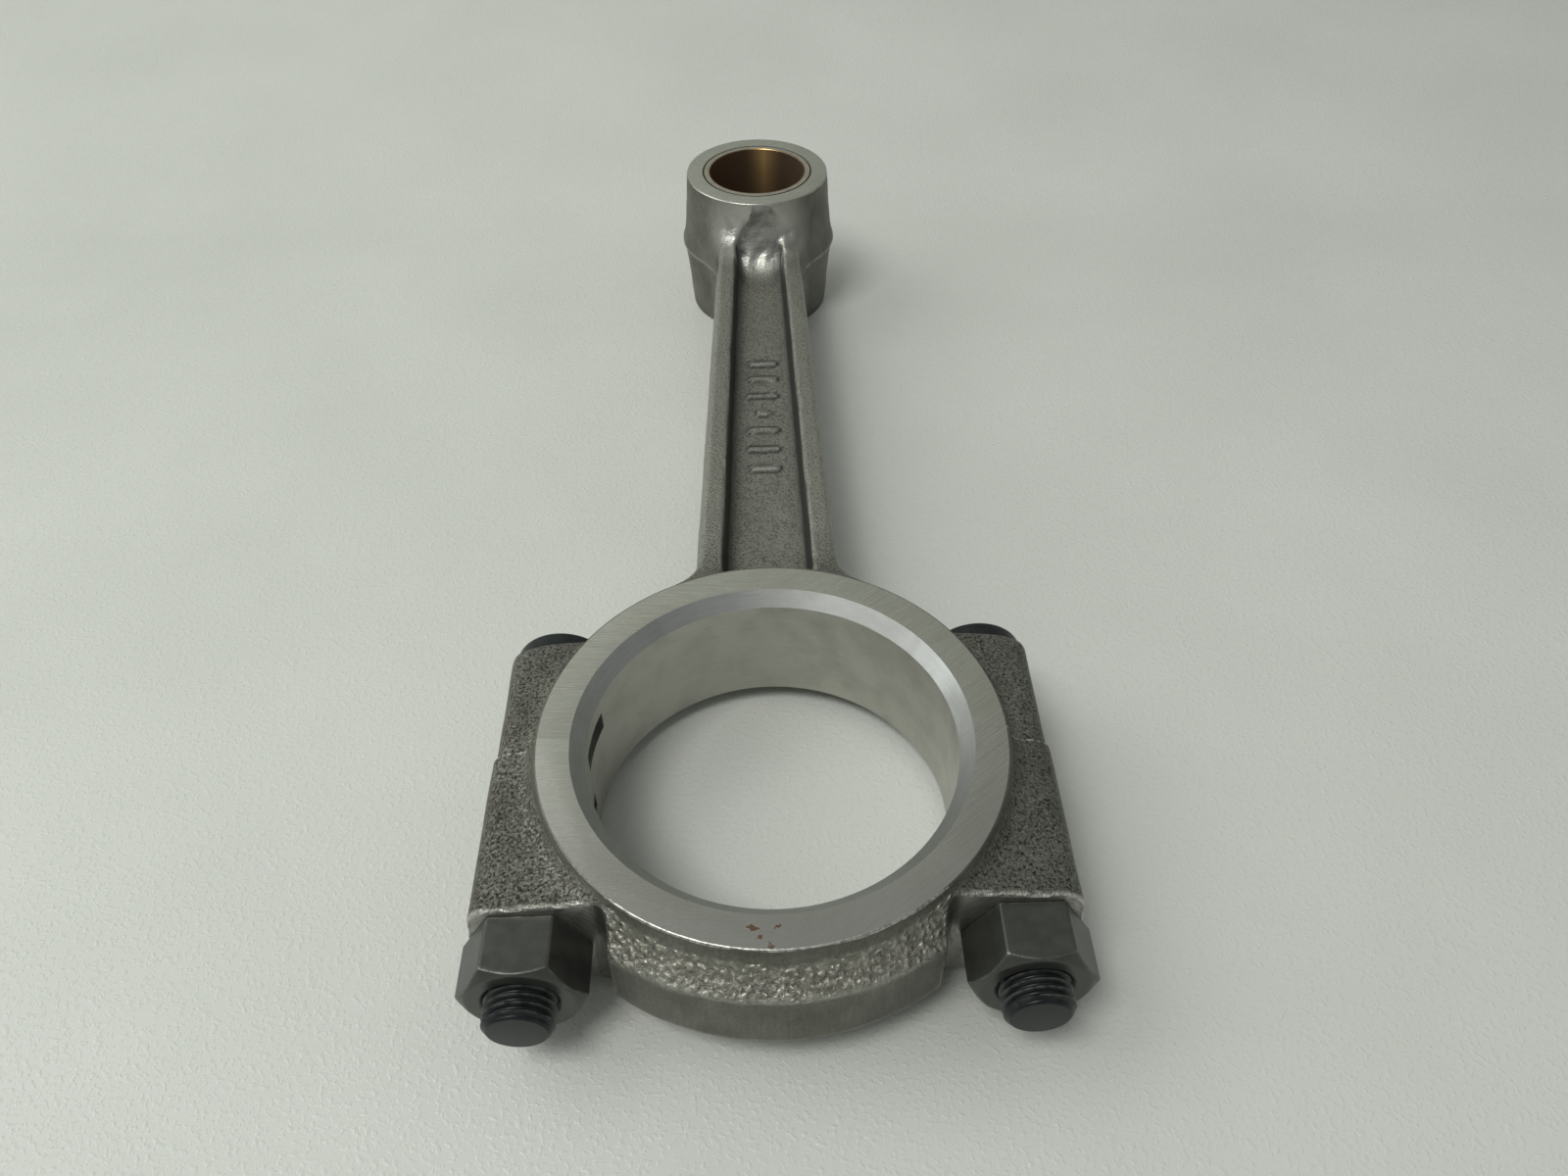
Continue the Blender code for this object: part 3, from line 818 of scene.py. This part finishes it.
def ground_face():
    """Surface-ground face: fine straight scratches, crossing towards +X, and a few rust specks."""
    look = Look("ground_face", Metallic=1.0, Anisotropic=0.3)
    lines = [look.noise(size, look.turned_place(angle, (0.03, 1, 1)), detail=5, rough=0.7)
             for angle, size in ((4, 0.16), (-38, 0.22))]
    share = look.span(look.plus(look.split()["X"], look.times(look.noise(14.0), 24)), 8, 22)
    both = look.plus(look.times(lines[0], look.minus(1.0, share)), look.times(lines[1], share))
    stain = look.span(look.noise(11.0, detail=5, rough=0.6), 0.35, 0.7)
    base = look.mix(look.span(both, 0.3, 0.7), (0.40, 0.40, 0.366), (0.59, 0.59, 0.54))
    base = look.mix(look.times(stain, 0.35), base, (0.42, 0.40, 0.35))
    rust = rust_specks(look)
    base = look.mix(rust, base, (0.085, 0.045, 0.026))
    look.set("Metallic", look.minus(1.0, rust))
    look.set("Base Color", base)
    look.set("Roughness", look.plus(look.span(both, 0.3, 0.7, 0.34, 0.24), look.times(rust, 0.4)))
    look.bump((both, 0.016), (look.noise(2.5), 0.012))
    return look.material


def rust_specks(look):
    """1 in a few ragged spots on the cap's upper face."""
    spots = 0.0
    for x, y, size in ((-3.6, -35.0, 0.85), (0.2, -34.9, 0.5), (-2.5, -36.6, 0.45), (-1.2, -37.9, 0.6)):
        ragged = look.span(look.noise(0.5), 0.3, 0.7, -0.5, 0.5)
        edge = look.plus(look.away_from(look.place, (x, y, HALF_BIG)), ragged)
        spots = look.math("MAXIMUM", spots, look.span(edge, size, size - 0.25))
    return spots


def turned_ring(name, centre, low, high, roughness):
    """Lathe-turned or bored surface with rings about an upright axis."""
    look = Look(name, Metallic=1.0)
    rings = look.noise(0.12, look.stretched(look.round_place(*centre), (1, 0.6, 1)), detail=4, rough=0.7)
    stain = look.noise(7.0, detail=5, rough=0.6)
    base = look.mix(look.span(rings, 0.3, 0.7), low, high)
    base = look.mix(look.span(stain, 0.45, 0.75, 0, 0.5), base, tuple(0.72 * c for c in low))
    look.set("Base Color", base)
    look.set("Roughness", look.span(stain, 0.3, 0.7, roughness - 0.06, roughness + 0.08))
    look.bump((rings, 0.012), (look.noise(3.0), 0.02))
    return look.material


def milled_seat():
    """Spot-faced seat with arcs about the bolt axis."""
    look = Look("milled_seat", Metallic=1.0)
    nearer_bolt = look.times(look.math("SIGN", look.split()["X"]), BOLT_X)
    place = look.round_place(nearer_bolt, 0.0, "XZ")
    rings = look.noise(0.22, look.stretched(place, (1, 0.8, 0.2)), detail=3, rough=0.6)
    base = look.mix(look.span(rings, 0.35, 0.65), (0.26, 0.255, 0.235), (0.47, 0.46, 0.43))
    look.set("Base Color", base)
    look.set("Roughness", look.span(rings, 0.3, 0.7, 0.45, 0.30))
    look.bump((rings, 0.03))
    return look.material


def broken_edge():
    """Hand-deburred bright edge."""
    look = Look("broken_edge", Metallic=1.0)
    nick = look.noise(0.8, detail=3)
    look.set("Base Color", look.mix(look.span(nick, 0.35, 0.6), (0.22, 0.22, 0.20), (0.62, 0.62, 0.58)))
    look.set("Roughness", look.span(nick, 0.3, 0.7, 0.42, 0.30))
    look.bump((nick, 0.06))
    return look.material


def bush_rim():
    """Faced end of the bush's back, tinned to a dull tan."""
    look = Look("bush_rim", Metallic=1.0)
    base = look.mix(look.span(look.noise(2.0, detail=4), 0.35, 0.65), (0.40, 0.37, 0.30), (0.50, 0.47, 0.39))
    look.set("Base Color", base)
    look.set("Roughness", look.span(look.noise(0.4), 0.3, 0.7, 0.36, 0.28))
    return look.material


def dark_joint():
    """Oily line where the bush meets the eye."""
    return Look("dark_joint", Base_Color=(0.020, 0.018, 0.015, 1), Roughness=0.5).material


def black_oxide(name, low, high, bare, rough, metallic, ior):
    """Oiled black oxide, rubbed at the corners."""
    look = Look(name, Metallic=metallic, IOR=ior)
    broad = look.noise(2.6, detail=5, rough=0.6)
    fine = look.noise(0.35, detail=3)
    base = look.mix(look.span(broad, 0.35, 0.65), low, high)
    worn = look.times(look.stored("wear"), look.span(look.noise(1.4, detail=3), 0.36, 0.60))
    base = look.mix(worn, base, bare)
    look.set("Base Color", base)
    look.set("Roughness", look.span(broad, 0.3, 0.7, rough - 0.04, rough + 0.05))
    look.bump((broad, 0.012), (fine, 0.010))
    return look.material


def bronze():
    """Bored bronze lining, with a painted highlight: a bright golden stripe down its far wall, fading
    towards the bottom.
    """
    look = Look("bearing_bronze", Metallic=0.7, IOR=1.5)
    split = look.split(look.round_place(0, CENTRES))
    height = look.node("ShaderNodeCombineXYZ", {2: split["Z"]}).outputs[0]
    rings = look.noise(0.2, height, detail=2, rough=0.6)
    broad = look.noise(6.0, detail=4)
    base = look.mix(look.span(rings, 0.3, 0.7), (0.17, 0.115, 0.075), (0.25, 0.17, 0.11))
    base = look.mix(look.span(broad, 0.4, 0.7, 0, 0.5), base, (0.12, 0.08, 0.05))
    # painted highlight: a golden stripe down the bore's far wall, brightest at the top
    off = look.math("ABSOLUTE", look.minus(split["Y"], BUSH_HIGHLIGHT_ANGLE))
    painted_highlight = look.times(look.span(off, 0.48, 0.0), look.span(split["Z"], -12, 16))
    base = look.mix(look.times(painted_highlight, painted_highlight), base, (1.0, 0.66, 0.28))
    look.set("Base Color", base)
    look.set("Roughness", look.span(broad, 0.3, 0.7, 0.30, 0.42))
    look.bump((rings, 0.015))
    return look.material


# ---- values and finishes stored on the meshes ------------------------------------
def bend_of(field, points, reach):
    """How sharply a field's surface turns outward (positive) or inward, per millimetre."""
    total = -6 * field(*points.T)
    for axis in range(3):
        offset = np.zeros(3)
        offset[axis] = reach
        total = total + field(*(points + offset).T) + field(*(points - offset).T)
    return total / reach ** 2


def local_points(mesh):
    points = np.empty(len(mesh.vertices) * 3)
    mesh.vertices.foreach_get("co", points)
    return (points.reshape(-1, 3) - np.array(BIG)) / MM


def store(mesh, name, values):
    mesh.attributes.new(name, "FLOAT", "POINT").data.foreach_set("value", values.astype(np.float32))


def edge_wear(obj, field, reach=0.55, soft=0.5, hard=1.6):
    """Store how exposed each vertex is, 0 to 1."""
    bend = bend_of(field, local_points(obj.data), reach)
    store(obj.data, "wear", np.clip((bend - soft) / (hard - soft), 0, 1))


def skin_marks(obj, field):
    """Store where the forging is scaly, with painted glints, where painted shade darkens it, and where it
    lies level.
    """
    points = local_points(obj.data)
    bend = bend_of(field, points, 3.0)
    lift = np.array((0, 0, 0.2))
    tilt = np.abs(field(*(points + lift).T) - field(*(points - lift).T)) / (2 * lift[2])
    x, y, z = points.T
    across, radius = np.abs(x), np.hypot(x, y)
    pocket = (across < beam_half_width(y) - 1.5) & (y > 44) & (y < 160)

    hollow = np.clip((-bend - 0.06) / 0.16, 0, 0.12)
    flare = (radius > BIG_FACE_R + 0.5) & (radius < CROWN_R - 0.2) & (across < CROWN_CUT_X + 0.5) & (y < 0)
    hollow = np.maximum(hollow, flare * np.clip((tilt - 0.25) * 4, 0, 1))
    store(obj.data, "hollow", hollow * ~(pocket | (y > 140)))

    # Painted shade: the pocket's steep walls, its floor beside them, its corners by the eye and the creases
    # round the raised marks.
    tally = (across < 4.5) & (np.abs(y - TALLY_MIDDLE_Y) < 24)
    outline = tally * np.clip(-bend_of(field, points, 0.6) * 2.2, 0, 1)
    corners = np.clip((y - 151) / 7, 0, 1) * np.clip((CENTRES - EYE_FACE_R + 1 - y) / 3, 0, 1)
    corners = corners * np.clip((across - 2.8) / 1.8, 0, 1) * np.clip((-bend - 0.04) / 0.16, 0, 0.85)
    walls = pocket * ~tally * np.clip((0.85 - tilt) * 2.2, 0, 1)
    foot = np.clip(1 - (pocket_half_width(y, WEB_HALF) - across) / 2.6, 0, 1)
    foot = pocket * (np.abs(z) < WEB_HALF + 0.8) * foot * 0.6
    store(obj.data, "painted_shade", np.max((walls, foot, corners, outline), axis=0))
    store(obj.data, "level", np.clip((tilt - 0.5) * 3, 0, 1))


def paint(obj, materials, choose, sharp=40):
    """Give each face the material index that choose(centres, normals) returns."""
    mesh = obj.data
    mesh.materials.clear()
    for material in materials:
        mesh.materials.append(material)
    count = len(mesh.polygons)
    centres, normals = np.empty(count * 3), np.empty(count * 3)
    mesh.polygons.foreach_get("center", centres)
    mesh.polygons.foreach_get("normal", normals)
    centres = (centres.reshape(-1, 3) - np.array(BIG)) / MM
    mesh.polygons.foreach_set("material_index", choose(centres, normals.reshape(-1, 3)).astype(np.int32))
    mesh.polygons.foreach_set("use_smooth", np.ones(count, bool))
    mesh.set_sharp_from_angle(angle=math.radians(sharp))
    return obj


FORGED, GROUND, CHAMFER, BORE, SEAT, BREAK, JOINT = range(7)


def forging_finishes():
    """Materials in the order of the names above."""
    return [forged_skin(), ground_face(),
            turned_ring("turned_chamfer", (0, 0), (0.38, 0.385, 0.375), (0.50, 0.505, 0.495), 0.45),
            turned_ring("bored_wall", (0, 0), (0.41, 0.403, 0.362), (0.51, 0.502, 0.456), 0.36),
            milled_seat(), broken_edge(), dark_joint()]


def forging_surfaces(centres, normals):
    """Which finish each face of a forging has, from where it lies."""
    x, y, z = centres.T
    across, height = np.abs(x), np.abs(z)
    radius, eye_radius = np.hypot(x, y), np.hypot(x, y - CENTRES)
    faces_x, faces_y, faces_z = np.abs(normals.T)
    upright = faces_z > 0.99
    tilted = ~upright & (faces_z > 0.3)
    kind = np.full(len(x), FORGED)
    kind[upright & (np.abs(height - HALF_BIG) < 0.02) & (radius < 60)] = GROUND
    kind[upright & (np.abs(height - HALF_SMALL) < 0.02)] = GROUND
    kind[(radius < BIG_CHAMFER_R + 0.05) & (height > HALF_BIG - BIG_CHAMFER_DEPTH) & ~upright] = CHAMFER
    for r, face_r, half, edge in ((radius, BIG_FACE_R, HALF_BIG, np.where(y < -29.5, BREAK, FORGED)),
                                  (eye_radius, EYE_FACE_R, HALF_SMALL, np.full(len(x), GROUND))):
        from_corner = np.hypot(r - face_r + FACE_EDGE, height - half + FACE_EDGE)
        on_edge = (np.abs(from_corner - FACE_EDGE) < 0.03) & (r > face_r - FACE_EDGE) & tilted
        kind[on_edge] = edge[on_edge]
    bore = (np.abs(radius - BIG_BORE_R) < 0.05) & (height <= HALF_BIG - BIG_CHAMFER_DEPTH)
    notch = (radius < BIG_BORE_R + NOTCH_DEPTH + 0.4) & (height <= HALF_BIG - BIG_CHAMFER_DEPTH)
    kind[notch] = SEAT
    kind[bore] = BORE
    kind[(eye_radius < BUSH_R + 0.4) & ~upright] = JOINT
    for seat_y in (HEAD_SEAT_Y, NUT_SEAT_Y, JOINT_GAP / 2, -JOINT_GAP / 2):
        kind[(faces_y > 0.99) & (np.abs(y - seat_y) < 0.02)] = SEAT
    wall = (across > CROWN_CUT_X - 0.05) & (across < CROWN_CUT_X + SEAT_FILLET + 0.1)
    kind[wall & (y < NUT_SEAT_Y - 0.02) & (faces_z < 0.05) & (faces_x > 0.05)] = SEAT
    kind[(np.abs(across - HEAD_CUT_X) < 0.03) & (y > HEAD_SEAT_Y)] = SEAT
    kind[np.abs(np.hypot(across - BOLT_X, z) - BOLT_HOLE_R) < 0.05] = SEAT
    return kind


def one_finish(centres, normals):
    return np.zeros(len(centres))


def back_surfaces(centres, normals):
    """Faced ends of the bush's back, and the dark joint round it."""
    return np.abs(normals[:, 2]) < 0.99


def crest_wear(bolt, side):
    """Store the thread's crests as bare."""
    points = local_points(bolt.data)
    radius = np.hypot(points[:, 0] - side * BOLT_X, points[:, 2])
    threaded = points[:, 1] < BOLT_TIP_Y + THREAD_LENGTH
    store(bolt.data, "wear", np.where(threaded, np.clip((radius - BOLT_R + 0.12) / 0.08, 0, 1), 0.0))


# ---- stage -----------------------------------------------------------------------
def make_floor():
    """Table that the rod rests on, rising gently behind it to an upright back.

    The wider small end tips the rod by about a degree and a half, so the table takes that slope.
    """
    rest_small = (SMALL.y - EYE_FACE_R * MM, SMALL.z - HALF_SMALL * MM)
    rest_big = (BIG.y - BIG_FACE_R * MM, BIG.z - HALF_BIG * MM)
    slope = (rest_small[1] - rest_big[1]) / (rest_small[0] - rest_big[0])
    front_y, wall_y, wall_top, half_wide = -0.9, 0.47, 0.85, 1.6
    fold_y, fold_slope, bend = 0.155, math.tan(math.radians(9)), 0.02
    outline = [(y, 0.0) for y in (front_y, fold_y - 0.02, fold_y - 0.01, fold_y)]
    outline += [(y, fold_slope * (y - fold_y)) for y in (fold_y + 0.01, fold_y + 0.02, wall_y - bend - 0.02)]
    foot = fold_slope * (wall_y - bend - fold_y)
    outline += arc((wall_y - bend, foot + bend), bend, -90, 0, 9) + [(wall_y, wall_top)]
    bm = bmesh.new()
    rows = []
    for y, rise in outline:
        z = rest_small[1] + slope * (y - rest_small[0]) + rise
        rows.append([bm.verts.new((x, y, z)) for x in (-half_wide, half_wide)])
    for near, far in zip(rows, rows[1:]):
        bm.faces.new((near[0], near[1], far[1], far[0]))
    floor = link_bmesh("table", bm)
    floor.data.shade_smooth()
    floor.data.materials.append(pale_table())


def pale_table():
    """Plain pale sheet with a faint pebbled relief."""
    look = Look("pale_table", Roughness=0.34)
    fine = look.noise(0.9, detail=2, rough=0.5)
    broad = look.noise(60.0, detail=3)
    look.set("Base Color", look.mix(look.span(broad, 0.3, 0.7), (0.585, 0.60, 0.565), (0.625, 0.64, 0.605)))
    look.bump((look.span(fine, 0.5, 0.7), 0.06))
    return look.material


def area_light(name, place, target, size, power, colour):
    light = bpy.data.lights.new(name, "AREA")
    light.shape = "RECTANGLE"
    light.size, light.size_y = size
    light.energy = power
    light.color = colour
    lamp = link(name, light)
    lamp.location = place
    lamp.rotation_euler = (Vector(target) - Vector(place)).to_track_quat("-Z", "Y").to_euler()


def make_camera():
    """Hand-held view from above the cap, with a very slight roll."""
    data = bpy.data.cameras.new("camera")
    data.lens = 27.7
    data.sensor_width = 36.0
    data.clip_start = 0.01
    camera = link("camera", data)
    forward = Vector((0.0167, 0.7034, -0.7106)).normalized()
    right = forward.cross(Vector((0, 0, 1))).normalized()
    up = right.cross(forward)
    roll = -0.007
    right, up = (right + roll * up).normalized(), (up - roll * right).normalized()
    turn = Matrix((right, up, -forward)).transposed().to_4x4()
    camera.matrix_world = Matrix.Translation((-0.00081, -0.20382, 0.18914)) @ turn
    bpy.context.scene.camera = camera


def light_room():
    world = bpy.data.worlds.new("room")
    world.use_nodes = True
    sky = world.node_tree.nodes["Background"].inputs
    sky["Color"].default_value = (0.92, 0.96, 0.93, 1)
    sky["Strength"].default_value = 0.31
    bpy.context.scene.world = world
    area_light("key", (-0.40, -0.46, 1.15), (0, 0, 0), (0.5, 0.42), 7.3, (1.0, 1.0, 0.96))
    area_light("window", (-1.25, 0.55, 1.00), (0, 0.35, 0), (1.9, 1.4), 18.5, (0.97, 1.0, 0.98))
    bpy.context.scene.view_settings.view_transform = "Standard"


# ---- build -----------------------------------------------------------------------
def finish_piece(obj, body, slot, *nodes):
    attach(obj, body)
    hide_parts(*nodes)


def finish_forging(obj, field, finishes, body, node):
    edge_wear(obj, field)
    skin_marks(obj, field)
    paint(obj, finishes, forging_surfaces)
    finish_piece(obj, body, "forged_steel", node)


def build_rod(finishes):
    low, high = (-50, -4.5, -21.5), (50, CENTRES + 24, 21.5)
    rod = machine_rod(make_forging("rod_forging", rod_field, low, high, 0.75))
    finish_forging(rod, rod_field, finishes, "rod", "rod_body")


def build_cap(finishes):
    low, high = (-50, -46, -17.3), (50, 4.5, 17.3)
    cap = machine_cap(make_forging("cap_forging", cap_field, low, high, 0.7))
    finish_forging(cap, cap_field, finishes, "cap", "rod_cap")


def build_bolt(side, word, black):
    bolt = make_bolt("cap_bolt_" + word, side)
    crest_wear(bolt, side)
    paint(bolt, [black], one_finish, 32)
    finish_piece(bolt, "rod", "black_oxide", "bolt_" + word)


def build_nut(side, word, black):
    nut = make_nut("hex_nut_" + word, side)
    edge_wear(nut, nut_field(side), reach=0.3, soft=2.4, hard=5.5)
    paint(nut, [black], one_finish, 32)
    finish_piece(nut, "nut_" + word, "black_oxide", "nut_" + word)


def build_bush():
    """Steel back and bronze lining, each with its own edge breaks."""
    back_r, lining_r = BUSH_R - 0.01, BUSH_LINING_R - 0.01
    back = both_ways([(back_r, HALF_SMALL - BACK_BREAK), (back_r - BACK_BREAK, HALF_SMALL),
                      (BUSH_LINING_R, HALF_SMALL)])
    lining = both_ways([(BUSH_BORE_R, HALF_SMALL - BUSH_BREAK), (BUSH_BORE_R + BUSH_BREAK, HALF_SMALL),
                        (lining_r, HALF_SMALL)])
    steel_back = outward(revolve("bush_back", back, (0, CENTRES, 0), "Z", 192))
    bronze_lining = outward(revolve("bush_lining", lining, (0, CENTRES, 0), "Z", 192))
    paint(steel_back, [bush_rim(), dark_joint()], back_surfaces)
    paint(bronze_lining, [bronze()], one_finish)
    finish_piece(steel_back, "rod", "bearing_bronze", "small_end_bush")
    finish_piece(bronze_lining, "rod", "bearing_bronze", "small_end_bush")


make_camera()
light_room()
make_floor()
forging_set = forging_finishes()
build_rod(forging_set)
build_cap(forging_set)
nut_black = black_oxide("nut_black", (0.060, 0.063, 0.056), (0.076, 0.079, 0.070), (0.20, 0.20, 0.185),
                        rough=0.38, metallic=0.6, ior=1.5)
bolt_black = black_oxide("bolt_black", (0.008, 0.010, 0.011), (0.016, 0.020, 0.020), (0.09, 0.09, 0.085),
                         rough=0.34, metallic=0.1, ior=1.33)
for side, word in ((-1, "left"), (1, "right")):
    build_bolt(side, word, bolt_black)
    build_nut(side, word, nut_black)
build_bush()
